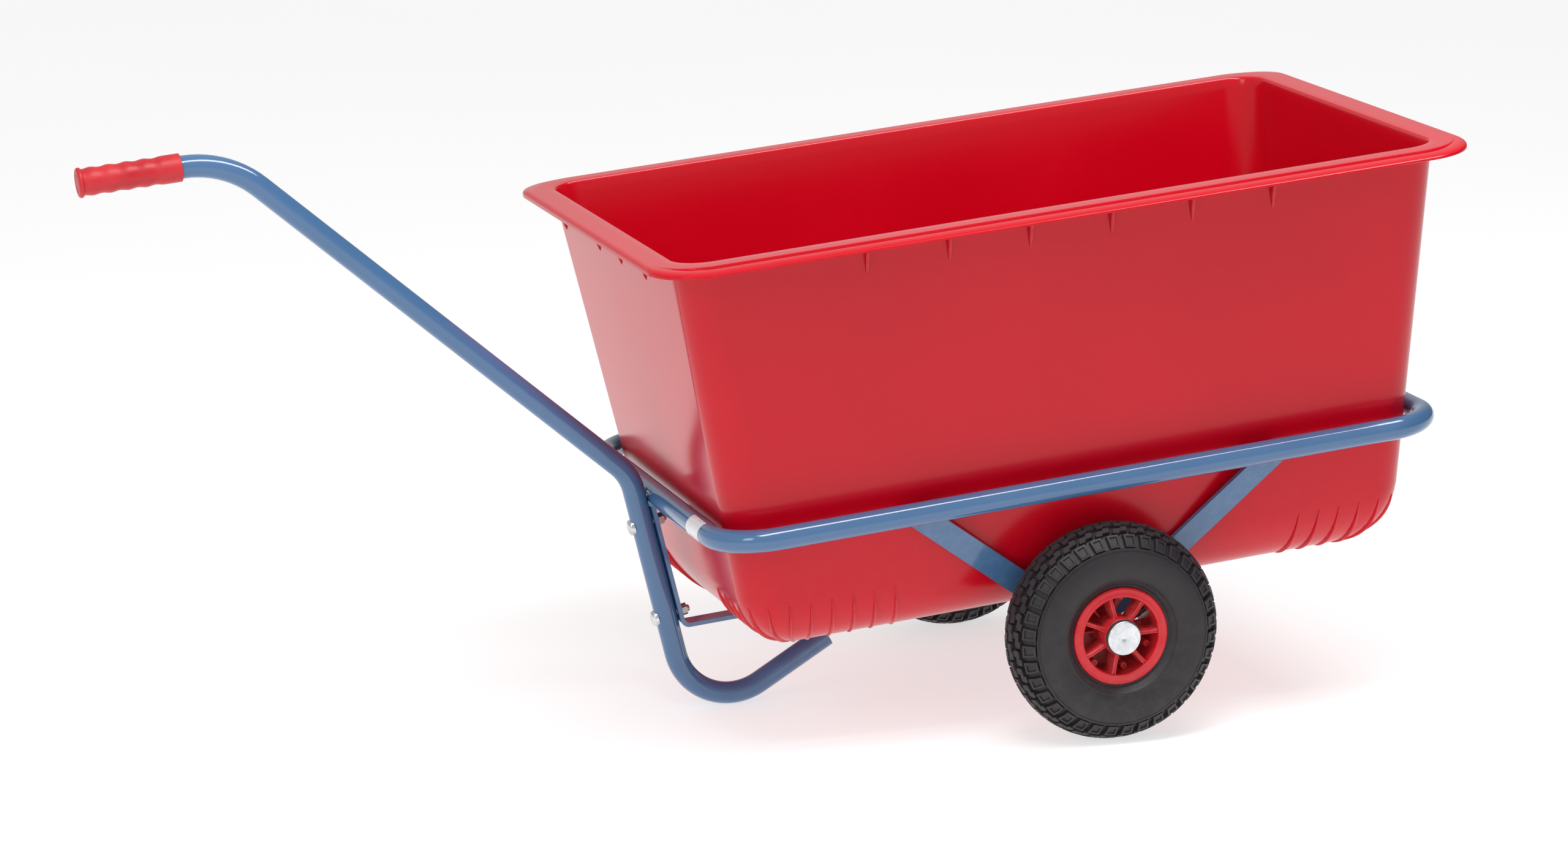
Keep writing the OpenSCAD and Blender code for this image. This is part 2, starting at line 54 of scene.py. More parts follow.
joint_facts = {joint["name"]: joint for joint in frame["joints"]}
axle_place = Vector(joint_facts["left_wheel_spin"]["pos_m"])
tub_up = Vector(joint_facts["tub_lift"]["axis"]).normalized()


def placed(origin, x_way, y_way, z_way):
    """Matrix that takes millimetres in a piece's own directions to metres in the row frame."""
    columns = [Vector(way) * MM for way in (x_way, y_way, z_way)]
    grid = Matrix.Identity(4)
    for k, column in enumerate(columns):
        for row in range(3):
            grid[row][k] = column[row]
    grid.translation = origin
    return grid


# The chassis leans nose-down: u runs to the rear, v to the right-hand wheel, w up along the tub
CHASSIS = placed(
    Vector((axle_place.x, 0, axle_place.z)),
    (tub_up.z, 0, -tub_up.x),
    (0, 1, 0),
    tub_up,
)

# A wheel's own z runs outwards along the axle
WHEEL = {
    side: placed(
        Vector((axle_place.x, side * abs(axle_place.y), axle_place.z)),
        (1, 0, 0),
        (0, 0, 1),
        (0, side, 0),
    )
    for side in (LEFT, RIGHT)
}
SIDE_NAME = {LEFT: "left", RIGHT: "right"}


def wave(degrees):
    return math.cos(math.radians(degrees)), math.sin(math.radians(degrees))


# ---- camera ----

CAMERA_PLACE = (-1.80845, -5.8194, 1.6769)
CAMERA_YAW = 17.662
CAMERA_DIP = 12.353
CAMERA_ROLL = -0.136
LENS = 120.03
SENSOR = 36

camera_data = bpy.data.cameras.new("camera")
camera_data.lens = LENS
camera_data.sensor_width = SENSOR
camera_data.clip_end = 100
camera = bpy.data.objects.new("camera", camera_data)
bpy.context.scene.collection.objects.link(camera)
camera.matrix_world = (
    Matrix.Translation(CAMERA_PLACE)
    @ Matrix.Rotation(math.radians(-CAMERA_YAW), 4, "Z")
    @ Matrix.Rotation(math.radians(90 - CAMERA_DIP), 4, "X")
    @ Matrix.Rotation(math.radians(CAMERA_ROLL), 4, "Z")
)
bpy.context.scene.camera = camera


# ---- effects that the finishes share ----

class Bench:
    """Lays out shader nodes in one tree and joins them."""

    def __init__(self, tree):
        self.tree = tree

    def node(self, kind, **settings):
        made = self.tree.nodes.new(kind)
        for name, value in settings.items():
            setattr(made, name, value)
        return made

    def feed(self, socket, source):
        if isinstance(source, (int, float, tuple)):
            socket.default_value = source
        else:
            self.tree.links.new(source, socket)

    def math(self, operation, a, b, clamp=False):
        made = self.node("ShaderNodeMath", operation=operation, use_clamp=clamp)
        self.feed(made.inputs[0], a)
        self.feed(made.inputs[1], b)
        return made.outputs[0]

    def noise(self, where, scale, detail=3.0, roughness=0.5):
        made = self.node("ShaderNodeTexNoise")
        self.feed(made.inputs["Vector"], where)
        self.feed(made.inputs["Scale"], scale)
        self.feed(made.inputs["Detail"], detail)
        self.feed(made.inputs["Roughness"], roughness)
        return made.outputs["Fac"]

    def band(self, value, low, high):
        """0 below low, 1 above high, smooth between."""
        made = self.node("ShaderNodeMapRange", interpolation_type="SMOOTHSTEP")
        self.feed(made.inputs["Value"], value)
        self.feed(made.inputs["From Min"], low)
        self.feed(made.inputs["From Max"], high)
        return made.outputs["Result"]

    def blend(self, share, first, second):
        made = self.node("ShaderNodeMix", data_type="RGBA")
        self.feed(made.inputs["Factor"], share)
        self.feed(made.inputs["A"], first)
        self.feed(made.inputs["B"], second)
        return made.outputs["Result"]

    def here(self):
        return self.node("ShaderNodeTexCoord").outputs["Object"]

    def stretched(self, where, amount):
        made = self.node("ShaderNodeMapping")
        self.feed(made.inputs["Vector"], where)
        self.feed(made.inputs["Scale"], amount)
        return made.outputs["Vector"]


def shared_effect(name, inputs, output, build):
    """A node group with number inputs and one number output."""
    tree = bpy.data.node_groups.new(name, "ShaderNodeTree")
    for label, usual in inputs:
        socket = tree.interface.new_socket(name=label, in_out="INPUT", socket_type="NodeSocketFloat")
        socket.default_value = usual
    tree.interface.new_socket(name=output, in_out="OUTPUT", socket_type="NodeSocketFloat")
    bench = Bench(tree)
    entry = bench.node("NodeGroupInput")
    leave = bench.node("NodeGroupOutput")
    bench.feed(leave.inputs[output], build(bench, entry.outputs))
    return tree


def build_drift(bench, given):
    slow = bench.noise(bench.here(), given["Scale"], detail=4.0, roughness=0.55)
    return bench.band(slow, low=0.32, high=0.68)


def build_moulded_grain(bench, given):
    where = bench.here()
    peel = bench.noise(where, given["Scale"], detail=2.0, roughness=0.5)
    finer_scale = bench.math("MULTIPLY", given["Scale"], 5.3)
    finer = bench.noise(where, finer_scale, detail=2.0, roughness=0.6)
    return bench.math("ADD", peel, bench.math("MULTIPLY", finer, given["Fineness"]))


def build_scuffs(bench, given):
    where = bench.here()
    along = bench.stretched(where, (1.0, 14.0, 11.0))
    across = bench.stretched(where, (13.0, 1.0, 3.0))
    long_way = bench.noise(along, given["Scale"], detail=5.0, roughness=0.7)
    short_way = bench.noise(across, given["Scale"], detail=5.0, roughness=0.7)
    patchy = bench.band(bench.noise(where, 6.0, detail=2.0), low=0.45, high=0.7)
    long_lines = bench.band(long_way, low=0.62, high=0.72)
    short_lines = bench.band(short_way, low=0.64, high=0.74)
    lines = bench.math("MAXIMUM", long_lines, short_lines)
    return bench.math("MULTIPLY", bench.math("MULTIPLY", lines, patchy), given["Amount"])


def build_floor_dust(bench, given):
    where = bench.here()
    parts = bench.node("ShaderNodeSeparateXYZ")
    bench.feed(parts.inputs[0], where)
    height = bench.math("DIVIDE", parts.outputs["Z"], given["Reach"])
    low_down = bench.math("SUBTRACT", 1.0, height, clamp=True)
    speckle = bench.band(bench.noise(where, 60.0, detail=6.0, roughness=0.7), low=0.35, high=0.75)
    return bench.math("MULTIPLY", bench.math("MULTIPLY", low_down, speckle), given["Amount"])


def build_edge_wear(bench, given):
    crest = bench.node("ShaderNodeNewGeometry").outputs["Pointiness"]
    edge = bench.band(crest, low=0.52, high=0.6)
    broken = bench.band(bench.noise(bench.here(), 90.0, detail=4.0, roughness=0.6), low=0.35, high=0.65)
    return bench.math("MULTIPLY", bench.math("MULTIPLY", edge, broken), given["Amount"])


DRIFT = shared_effect("slow drift", [("Scale", 5.0)], "Mask", build_drift)
GRAIN = shared_effect("moulded grain", [("Scale", 300.0), ("Fineness", 0.3)], "Height", build_moulded_grain)
SCUFFS = shared_effect("scuffs", [("Scale", 20.0), ("Amount", 1.0)], "Mask", build_scuffs)
DUST = shared_effect("floor dust", [("Reach", 0.2), ("Amount", 1.0)], "Mask", build_floor_dust)
WEAR = shared_effect("edge wear", [("Amount", 1.0)], "Mask", build_edge_wear)


# ---- finishes ----

GRAIN_HEIGHT = 0.0005
COAT_ROUGHNESS = 0.035
SCUFF_SCALE = 20.0
SCUFF_TINT = 0.12
FLAKE_SCALE = 260.0
FLAKE_COLOUR = (0.45, 0.5, 0.56, 1)
DUST_COLOUR = (0.32, 0.3, 0.28, 1)

# How much rougher each effect leaves the surface
FLAKE_ROUGH = 0.25
WORN_ROUGH = 0.1
SCUFF_ROUGH = 0.25
DUST_ROUGH = 0.4


def finish(
    name,
    deep,
    light,
    gloss,
    gloss_spread=0.08,
    metal=0.0,
    drift_scale=5.0,
    grain_scale=300.0,
    grain_depth=0.1,
    fineness=0.3,
    worn=None,
    wear=0.0,
    scuff=0.0,
    dust=0.0,
    dust_reach=0.25,
    specular=0.5,
    coat=0.0,
    spangle=0.0,
):
    """One surface: a drifting colour, worn edges, scuffs, dust low down and a fine grain."""
    material = bpy.data.materials.new(name)
    material.use_nodes = True
    bench = Bench(material.node_tree)
    shader = material.node_tree.nodes["Principled BSDF"]

    def effect(tree, **numbers):
        made = bench.node("ShaderNodeGroup", node_tree=tree)
        for label, value in numbers.items():
            made.inputs[label].default_value = value
        return made.outputs[0]

    drift = effect(DRIFT, Scale=drift_scale)
    colour = bench.blend(drift, (*deep, 1), (*light, 1))
    rough = bench.math("ADD", bench.math("MULTIPLY", drift, gloss_spread), gloss)
    height = effect(GRAIN, Scale=grain_scale, Fineness=fineness)
    if spangle:
        flakes = bench.node("ShaderNodeTexVoronoi")
        bench.feed(flakes.inputs["Vector"], bench.here())
        bench.feed(flakes.inputs["Scale"], FLAKE_SCALE)
        parts = bench.node("ShaderNodeSeparateColor")
        bench.feed(parts.inputs[0], flakes.outputs["Color"])
        facet = bench.math("MULTIPLY", parts.outputs[0], spangle)
        colour = bench.blend(facet, colour, FLAKE_COLOUR)
        rough = bench.math("ADD", rough, bench.math("MULTIPLY", facet, FLAKE_ROUGH))
    if wear:
        mask = effect(WEAR, Amount=wear)
        colour = bench.blend(mask, colour, (*worn, 1))
        rough = bench.math("ADD", rough, bench.math("MULTIPLY", mask, WORN_ROUGH))
    if scuff:
        mask = effect(SCUFFS, Scale=SCUFF_SCALE, Amount=scuff)
        rough = bench.math("ADD", rough, bench.math("MULTIPLY", mask, SCUFF_ROUGH), clamp=True)
        colour = bench.blend(bench.math("MULTIPLY", mask, SCUFF_TINT), colour, (*light, 1))
    if dust:
        mask = effect(DUST, Reach=dust_reach, Amount=dust)
        colour = bench.blend(mask, colour, DUST_COLOUR)
        rough = bench.math("ADD", rough, bench.math("MULTIPLY", mask, DUST_ROUGH), clamp=True)
    bump = bench.node("ShaderNodeBump")
    bump.inputs["Strength"].default_value = grain_depth
    bump.inputs["Distance"].default_value = GRAIN_HEIGHT
    bench.feed(bump.inputs["Height"], height)
    bench.feed(shader.inputs["Base Color"], colour)
    bench.feed(shader.inputs["Roughness"], rough)
    bench.feed(shader.inputs["Normal"], bump.outputs["Normal"])
    shader.inputs["Metallic"].default_value = metal
    shader.inputs["Specular IOR Level"].default_value = specular
    shader.inputs["Coat Weight"].default_value = coat
    shader.inputs["Coat Roughness"].default_value = COAT_ROUGHNESS
    return material


tub_plastic = finish(
    "moulded red tub",
    (0.56, 0.0003, 0.0105),
    (0.61, 0.001, 0.013),
    0.15,
    0.06,
    drift_scale=2.2,
    grain_scale=180.0,
    grain_depth=0.035,
    worn=(0.68, 0.05, 0.06),
    wear=0.3,
    scuff=0.35,
    dust=0.03,
    dust_reach=0.35,
    specular=0.36,
)
wheel_plastic = finish(
    "moulded red wheel",
    (0.58, 0.003, 0.012),
    (0.66, 0.012, 0.022),
    0.32,
    0.08,
    drift_scale=30.0,
    grain_scale=900.0,
    grain_depth=0.12,
    worn=(0.8, 0.2, 0.2),
    wear=0.5,
    scuff=0.5,
    dust=0.15,
)
grip_plastic = finish(
    "soft red grip",
    (0.5, 0.006, 0.014),
    (0.6, 0.02, 0.028),
    0.38,
    0.1,
    drift_scale=25.0,
    grain_scale=1400.0,
    grain_depth=0.2,
    worn=(0.7, 0.15, 0.14),
    wear=0.4,
    scuff=0.6,
)
frame_paint = finish(
    "blue stoved paint",
    (0.058, 0.148, 0.305),
    (0.064, 0.158, 0.322),
    0.12,
    0.04,
    drift_scale=7.0,
    grain_scale=260.0,
    grain_depth=0.05,
    worn=(0.14, 0.24, 0.38),
    wear=0.25,
    scuff=0.2,
    dust=0.05,
    dust_reach=0.15,
    coat=0.6,
)
bright_zinc = finish(
    "bright zinc plate",
    (0.62, 0.64, 0.66),
    (0.8, 0.82, 0.83),
    0.2,
    0.1,
    metal=1.0,
    drift_scale=60.0,
    grain_scale=1500.0,
    grain_depth=0.1,
    scuff=0.6,
    spangle=0.3,
)
dull_zinc = finish(
    "dull zinc plate",
    (0.34, 0.3, 0.28),
    (0.5, 0.46, 0.44),
    0.32,
    0.12,
    metal=1.0,
    drift_scale=80.0,
    grain_scale=1500.0,
    grain_depth=0.15,
    spangle=0.2,
)
tyre_rubber = finish(
    "black tyre rubber",
    (0.017, 0.015, 0.017),
    (0.024, 0.021, 0.024),
    0.42,
    0.1,
    drift_scale=10.0,
    grain_scale=1400.0,
    grain_depth=0.2,
    fineness=0.5,
    worn=(0.04, 0.037, 0.039),
    wear=0.3,
    dust=0.07,
    dust_reach=0.26,
    specular=0.4,
)
black_plastic = finish(
    "black plastic",
    (0.012, 0.012, 0.013),
    (0.024, 0.024, 0.026),
    0.35,
    0.12,
    drift_scale=50.0,
    grain_scale=2000.0,
    grain_depth=0.15,
    worn=(0.06, 0.06, 0.06),
    wear=0.4,
)
pale_bush = finish(
    "pale nylon",
    (0.62, 0.61, 0.56),
    (0.72, 0.71, 0.67),
    0.38,
    0.1,
    drift_scale=60.0,
    grain_scale=1200.0,
    grain_depth=0.1,
    scuff=0.4,
)
label_film = finish(
    "white label film",
    (0.76, 0.79, 0.82),
    (0.86, 0.87, 0.88),
    0.22,
    0.1,
    drift_scale=50.0,
    grain_scale=700.0,
    grain_depth=0.06,
    scuff=0.5,
)


# ---- making meshes ----

# In metres: points closer than this become one, and faces thinner than this go
MERGE_GAP = 1e-6
SLIVER = 1e-7


def over_rings(rings, closed=False):
    """Skins rings that hold the same number of points; an open run gets both ends closed."""
    count = len(rings[0])
    points = [point for ring in rings for point in ring]
    faces = []
    for i in range(len(rings) if closed else len(rings) - 1):
        here = i * count
        there = (i + 1) % len(rings) * count
        for j in range(count):
            k = (j + 1) % count
            faces.append((here + j, here + k, there + k, there + j))
    if not closed:
        faces.append(tuple(range(count)))
        faces.append(tuple(range(len(points) - count, len(points))))
    return points, faces


def gathered(shells):
    """One list of points and faces from several shells."""
    points, faces = [], []
    for shell_points, shell_faces in shells:
        start = len(points)
        points.extend(shell_points)
        faces.extend(tuple(start + k for k in face) for face in shell_faces)
    return points, faces


def piece(name, shells, surface, body, place, stands_for=(), crease=32):
    """A mesh object on a body, with its finish, smooth except across creases."""
    points, faces = gathered(shells)
    mesh = bpy.data.meshes.new(name)
    mesh.from_pydata([place @ Vector(point) for point in points], [], faces)
    work = bmesh.new()
    work.from_mesh(mesh)
    bmesh.ops.remove_doubles(work, verts=work.verts, dist=MERGE_GAP)
    bmesh.ops.dissolve_degenerate(work, edges=work.edges, dist=SLIVER)
    bmesh.ops.recalc_face_normals(work, faces=work.faces)
    work.to_mesh(mesh)
    work.free()
    mesh.shade_smooth()
    mesh.set_sharp_from_angle(angle=math.radians(crease))
    mesh.materials.append(surface)
    made = bpy.data.objects.new(name, mesh)
    bpy.context.scene.collection.objects.link(made)
    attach(made, body)
    if stands_for:
        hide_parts(*stands_for)
    return made


def turned(profile, steps=96, centre=(0, 0)):
    """Turns a closed outline of (radius, height) about the z axis."""
    rings = []
    for i in range(steps):
        c, s = wave(360 * i / steps)
        rings.append([(centre[0] + r * c, centre[1] + r * s, z) for r, z in profile])
    return over_rings(rings, closed=True)


def arc(centre, radius, start, end, steps):
    """Points of an arc in its own plane, from one angle to another."""
    found = []
    for i in range(steps + 1):
        c, s = wave(start + (end - start) * i / steps)
        found.append((centre[0] + radius * c, centre[1] + radius * s))
    return found


def bent_line(corners, radii, step=5):
    """A flat line through corners, each turned on its radius: (point, direction) pairs."""
    line = [(Vector(corners[0]), (Vector(corners[1]) - Vector(corners[0])).normalized())]
    for i, radius in enumerate(radii):
        before, corner, after = (Vector(corners[i + k]) for k in range(3))
        way_in = (corner - before).normalized()
        way_out = (after - corner).normalized()
        turn = math.atan2(way_in.x * way_out.y - way_in.y * way_out.x, way_in.dot(way_out))
        hand = math.copysign(1, turn)
        start = corner - way_in * radius * math.tan(abs(turn) / 2)
        centre = start + Vector((-way_in.y, way_in.x)) * radius * hand
        steps = max(2, round(math.degrees(abs(turn)) / step))
        for k in range(steps + 1):
            spin = Matrix.Rotation(turn * k / steps, 2)
            line.append((centre + spin @ (start - centre), spin @ way_in))
    end_way = (Vector(corners[-1]) - Vector(corners[-2])).normalized()
    line.append((Vector(corners[-1]), end_way))
    return line


def tube_rings(line, radius, lift, steps=32):
    """Circles about a flat line; lift turns (along, aside, out of plane) into the piece's x, y, z."""
    rings = []
    for point, way in line:
        aside = Vector((-way.y, way.x))
        ring = []
        for k in range(steps):
            c, s = wave(360 * k / steps)
            flat = point + aside * radius * c
            ring.append(lift(flat.x, flat.y, radius * s))
        rings.append(ring)
    return rings


# ---- tub ----

TUB_BACK = -8.5
RIM_HALF_L = 502.5
RIM_HALF_W = 332.5
RIM_TOP = 514
END_FLAT = 36
SIDE_FLAT = 49
TUB_WALL = 4
END_TAPER = math.tan(math.radians(7.3))
SIDE_TAPER = math.tan(math.radians(7))
TUB_FLOOR = 20.3
UPRIGHT_R = 44
BOTTOM_R = 76
RIM_CORNER_R = 66
MOUTH_CORNER_R = 40
LEAST_CORNER_R = 4
CORNER_STEPS = 14
BOTTOM_ANGLES = range(0, 91, 9)
OUTSIDE_LEVELS = (130, 190, 250, 310, 370, 430, 480, 500, 506)
INSIDE_LEVELS = (510, 500, 460, 400, 340, 280, 220, 160, 120)

# Half length, half width, height along the ends, height along the sides
RIM_UNDERSIDE = [
    (472.5, 289.0, 509.2, 509.2),
    (475.0, 292.0, 510.0, 510.0),
    (485.0, 310.0, 510.0, 508.0),
    (497.0, 326.0, 510.0, 505.8),
    (498.5, 328.6, 508.5, 505.2),
    (498.9, 329.0, 505.4, 505.0),
    (501.6, 331.6, 505.0, 505.0),
    (502.4, 332.4, 505.7, 505.5),
]
RIM_EDGE_MIDDLE = (497, 314.5, 508.5, 506.6)
RIM_EDGE_REACH = (5.5, 18, 5.5, 5.2)
RIM_EDGE_STEPS = 7
RIM_UPPER_FACE = [
    (494.5, 313.4, 514.0, 511.5),
    (492.5, 312.4, 514.0, 511.6),
    (491.5, 311.8, 514.0, 513.3),
    (490.0, 310.8, 514.0, 513.95),
    (488.0, 309.0, 514.0, 514.0),
    (478.0, 297.0, 514.0, 514.0),
    (469.5, 286.5, 514.0, 514.0),
    (467.9, 284.9, 513.6, 513.6),
    (466.9, 283.9, 512.6, 512.6),
]

# Drop below the rim, reach from the wall, half thickness
DART_LEVELS = [
    (3.5, 13, 1.9),
    (14, 9.5, 1.9),
    (26, 6, 1.8),
    (36, 3.2, 1.6),
    (43, 1.6, 1.3),
    (46, 0.3, 0.6),
]
DART_SINK = 1
SIDE_DARTS = (-257, -157, -58, 42, 142, 243)
END_DARTS = (-123, -20, 73, 223)

# Angles on the rounded bottom, then how far a rib drifts round its corner on the way down
WELT_FROM = 80
WELT_SWEEP = 68
WELT_DRIFT = 24
WELT_STEPS = 14
WELT_HALF = 2.2
WELT_HEIGHT = 3.4
WELT_SINK = 0.3
WELT_STARTS = {FRONT: range(-170, 120, 26), REAR: range(-130, 90, 26)}


def tub_half_l(w):
    return RIM_HALF_L - END_FLAT + TUB_WALL - (RIM_TOP - w) * END_TAPER


def tub_half_w(w):
    return RIM_HALF_W - SIDE_FLAT + TUB_WALL - (RIM_TOP - w) * SIDE_TAPER


def tub_loop(half_l, half_w, corner_r, end_w, side_w):
    """One level of the tub; its height may differ between the ends and the sides."""
    found = []
    for quarter, (sx, sy) in enumerate(((1, 1), (-1, 1), (-1, -1), (1, -1))):
        for i in range(CORNER_STEPS + 1):
            c, s = wave(90 * quarter + 90 * i / CORNER_STEPS)
            w = end_w + (side_w - end_w) * s * s
            x = sx * (half_l - corner_r) + corner_r * c
            y = sy * (half_w - corner_r) + corner_r * s
            found.append((x + TUB_BACK, y, w))
    return found


def wall_loop(w, inset=0):
    return tub_loop(tub_half_l(w) - inset, tub_half_w(w) - inset, UPRIGHT_R - inset, w, w)


def bottom_loop(angle, inset=0):
    """A level of the rounded bottom: 0 on the floor, 90 where the wall starts."""
    c, s = wave(angle)
    w = TUB_FLOOR + inset + (BOTTOM_R - inset) * (1 - c)
    pull = (BOTTOM_R - inset) * (1 - s) + inset
    corner = max((UPRIGHT_R - inset) * s, LEAST_CORNER_R)
    return tub_loop(tub_half_l(w) - pull, tub_half_w(w) - pull, corner, w, w)


def rim_radius(half_l):
    """The corner radius grows from the opening out to the rim's edge."""
    outward = half_l - (RIM_HALF_L - END_FLAT)
    return MOUTH_CORNER_R + (RIM_CORNER_R - MOUTH_CORNER_R) * outward / END_FLAT


def rim_loops():
    """The rim from under its edge, round the lip and over its top to the opening."""
    levels = list(RIM_UNDERSIDE)
    for i in range(RIM_EDGE_STEPS + 1):
        c, s = wave(90 * i / RIM_EDGE_STEPS)
        swing = zip(RIM_EDGE_MIDDLE, RIM_EDGE_REACH, (c, c, s, s))
        levels.append(tuple(middle + reach * share for middle, reach, share in swing))
    levels += RIM_UPPER_FACE
    return [tub_loop(l, w, rim_radius(l), end_w, side_w) for l, w, end_w, side_w in levels]


def tub_shell():
    loops = [bottom_loop(angle) for angle in BOTTOM_ANGLES]
    loops += [wall_loop(w) for w in OUTSIDE_LEVELS]
    loops += rim_loops()
    loops += [wall_loop(w, TUB_WALL) for w in INSIDE_LEVELS]
    loops += [bottom_loop(angle, TUB_WALL) for angle in reversed(BOTTOM_ANGLES)]
    return over_rings(loops)


def under_rim_dart(along, side, on_end):
    """A small tapered rib in the angle between the wall and the rim."""
    rings = []
    for drop, reach, half in DART_LEVELS:
        w = RIM_TOP - drop
        foot = (tub_half_l(w) if on_end else tub_half_w(w)) - DART_SINK
        ring = []
        for out, aside in ((0, -half), (reach + 0.4, -half), (reach + 1, 0), (reach + 0.4, half), (0, half)):
            far = side * (foot + out)
            if on_end:
                ring.append((far + TUB_BACK, along + aside, w))
            else:
                ring.append((along + aside, far, w))
        rings.append(ring)
    return over_rings(rings)


def bottom_skin(way, angle, sx, sy):
    """Point and outward direction on the rounded bottom; way runs round a corner from side to end."""
    c, s = wave(angle)
    w = TUB_FLOOR + BOTTOM_R * (1 - c)
    pull = BOTTOM_R * (1 - s)
    corner = max(UPRIGHT_R * s, LEAST_CORNER_R)
    bend = UPRIGHT_R * math.pi / 4
    if abs(way) <= bend:
        bearing = 45 - math.degrees(way / UPRIGHT_R)
        slip = 0
    else:
        bearing = 90 if way < 0 else 0
        slip = abs(way) - bend
    endward, sideward = wave(bearing)
    x = tub_half_l(w) - pull - corner + corner * endward
    y = tub_half_w(w) - pull - corner + corner * sideward
    if way < -bend:
        x -= slip
    if way > bend:
        y -= slip
    point = Vector((sx * x + TUB_BACK, sy * y, w))
    out = Vector((sx * endward * s, sy * sideward * s, -c)).normalized()
    return point, out


def corner_welt(start, sx, sy):
    """A thin raised rib that runs down into the rounded bottom near a corner."""
    rings = []
    for i in range(WELT_STEPS + 1):
        share = i / WELT_STEPS
        angle = WELT_FROM - WELT_SWEEP * share
        way = start + WELT_DRIFT * share ** 1.4
        point, out = bottom_skin(way, angle, sx, sy)
        ahead = bottom_skin(way + 0.6, angle - 4, sx, sy)[0]
        run = (ahead - point).normalized()
        aside = run.cross(out).normalized()
        swell = math.sin(math.pi * min(1, 0.06 + 0.9 * share)) ** 0.6
        ring = []
        for k in range(8):
            c, s = wave(45 * k)
            lift = WELT_HEIGHT * swell * s - WELT_SINK
            ring.append(tuple(point + aside * WELT_HALF * swell * c + out * lift))
        rings.append(ring)
    return over_rings(rings)


def build_tub():
    shells = [tub_shell()]
    for along in SIDE_DARTS:
        for side in (LEFT, RIGHT):
            shells.append(under_rim_dart(along, side, on_end=False))
    for along in END_DARTS:
        for end in (FRONT, REAR):
            shells.append(under_rim_dart(along, end, on_end=True))
    for end, starts in WELT_STARTS.items():
        for side in (LEFT, RIGHT):
            shells += [corner_welt(start, end, side) for start in starts]
    piece("tub_moulding", shells, tub_plastic, "tub", CHASSIS, ["tub"], crease=28)


# ---- tube frame ----

TUBE_R = 13.45
TUBE_WALL = 2.3
RING_HALF_L = 446.04
RING_HALF_W = 278.32
RING_LEVEL = 179
RING_BEND_R = 65
GRIP_END = -1093.39
HANDLE_LEVEL = 658
DRAWBAR_CORNERS = [
    (GRIP_END + 3.5, HANDLE_LEVEL),
    (-920.389, HANDLE_LEVEL),
    (-486.247, 210),
    (-439.149, -113.195),
    (-263.426, -29.002),
]
DRAWBAR_BENDS = [120, 60, 70.5]
FRAME_STEPS = 40
STRUT_WELDS = (-215, 227)


def build_ring_frame():
    l, w = RING_HALF_L, RING_HALF_W
    corners = [(0, -w), (l, -w), (l, w), (-l, w), (-l, -w), (0, -w)]
    line = bent_line(corners, [RING_BEND_R] * 4)[:-1]

    def lift(a, b, out):
        return a + TUB_BACK, b, RING_LEVEL + out

    rings = tube_rings(line, TUBE_R, lift, FRAME_STEPS)
    shells = [over_rings(rings, closed=True)]
    piece("ring_tube", shells, frame_paint, "chassis", CHASSIS, ["ring_frame"])


def build_drawbar():
    line = bent_line(DRAWBAR_CORNERS, DRAWBAR_BENDS, step=4)

    def lift(a, b, out):
        return a, out, b

    outside = tube_rings(line, TUBE_R, lift, FRAME_STEPS)
    inside = tube_rings(line, TUBE_R - TUBE_WALL, lift, FRAME_STEPS)
    shells = [over_rings(outside + inside[::-1], closed=True)]
    piece("drawbar_tube", shells, frame_paint, "chassis", CHASSIS, ["drawbar"])


def weld_bead(middle, run, half, girth):
    """A short rippled bead along a joint."""
    steps = 24
    run = Vector(run).normalized()
    aside = run.orthogonal().normalized()
    other = run.cross(aside)
    rings = []
    for i in range(steps + 1):
        share = 2 * i / steps - 1
        ripple = 1 + 0.12 * math.sin(i * 2.1)
        radius = girth * ripple * math.sqrt(max(0.03, 1 - share ** 6))
        at = Vector(middle) + run * half * share
        ring = []
        for k in range(10):
            c, s = wave(36 * k)
            ring.append(tuple(at + aside * radius * c + other * radius * s))
        rings.append(ring)
    return over_rings(rings)


def build_welds():
    """Beads where the flat bars meet the ring and where the leg meets the front rail."""
    shells = []
    front = TUB_BACK - RING_HALF_L
    for side in (LEFT, RIGHT):
        for w in (RING_LEVEL - 7, RING_LEVEL + 7):
            shells.append(weld_bead((front - 11.5, side * 6, w), (0.15, side, 0), half=7, girth=2.8))
        for u in STRUT_WELDS:
            place = (u, side * (RING_HALF_W - 9), RING_LEVEL - 12.5)
            run = (1, 0, math.copysign(0.01, u))
            shells.append(weld_bead(place, run, half=14, girth=2.4))
    piece("weld_beads", shells, frame_paint, "chassis", CHASSIS)


# ---- label ----

LABEL_FROM = 95
LABEL_TO = 212
LABEL_LENGTH = 46
LABEL_GAP = 5
LABEL_OUTSIDE = 0.35
LABEL_INSIDE = 0.02
LABEL_STEPS = 8
LABEL_ARC_STEPS = 28


def build_label():
    """A blank film wrapped over the front of the ring's front rail, near its left bend."""
    start = RING_BEND_R - RING_HALF_W + LABEL_GAP
    outline = arc((0, 0), TUBE_R + LABEL_OUTSIDE, LABEL_FROM, LABEL_TO, LABEL_ARC_STEPS)
    outline += arc((0, 0), TUBE_R + LABEL_INSIDE, LABEL_TO, LABEL_FROM, LABEL_ARC_STEPS)
    rings = []
    for k in range(LABEL_STEPS + 1):
        v = start + LABEL_LENGTH * k / LABEL_STEPS
        rings.append([(TUB_BACK - RING_HALF_L + a, v, RING_LEVEL + b) for a, b in outline])
    piece("label_film", [over_rings(rings)], label_film, "chassis", CHASSIS, ["label_plate"])


# ---- grip ----

GRIP_WAVES = 4.5
GRIP_WAVES_FROM = 6.5
GRIP_WAVES_TO = 99
GRIP_WAIST_R = 15.1
GRIP_SWELL = 1.35
GRIP_STEPS = 90


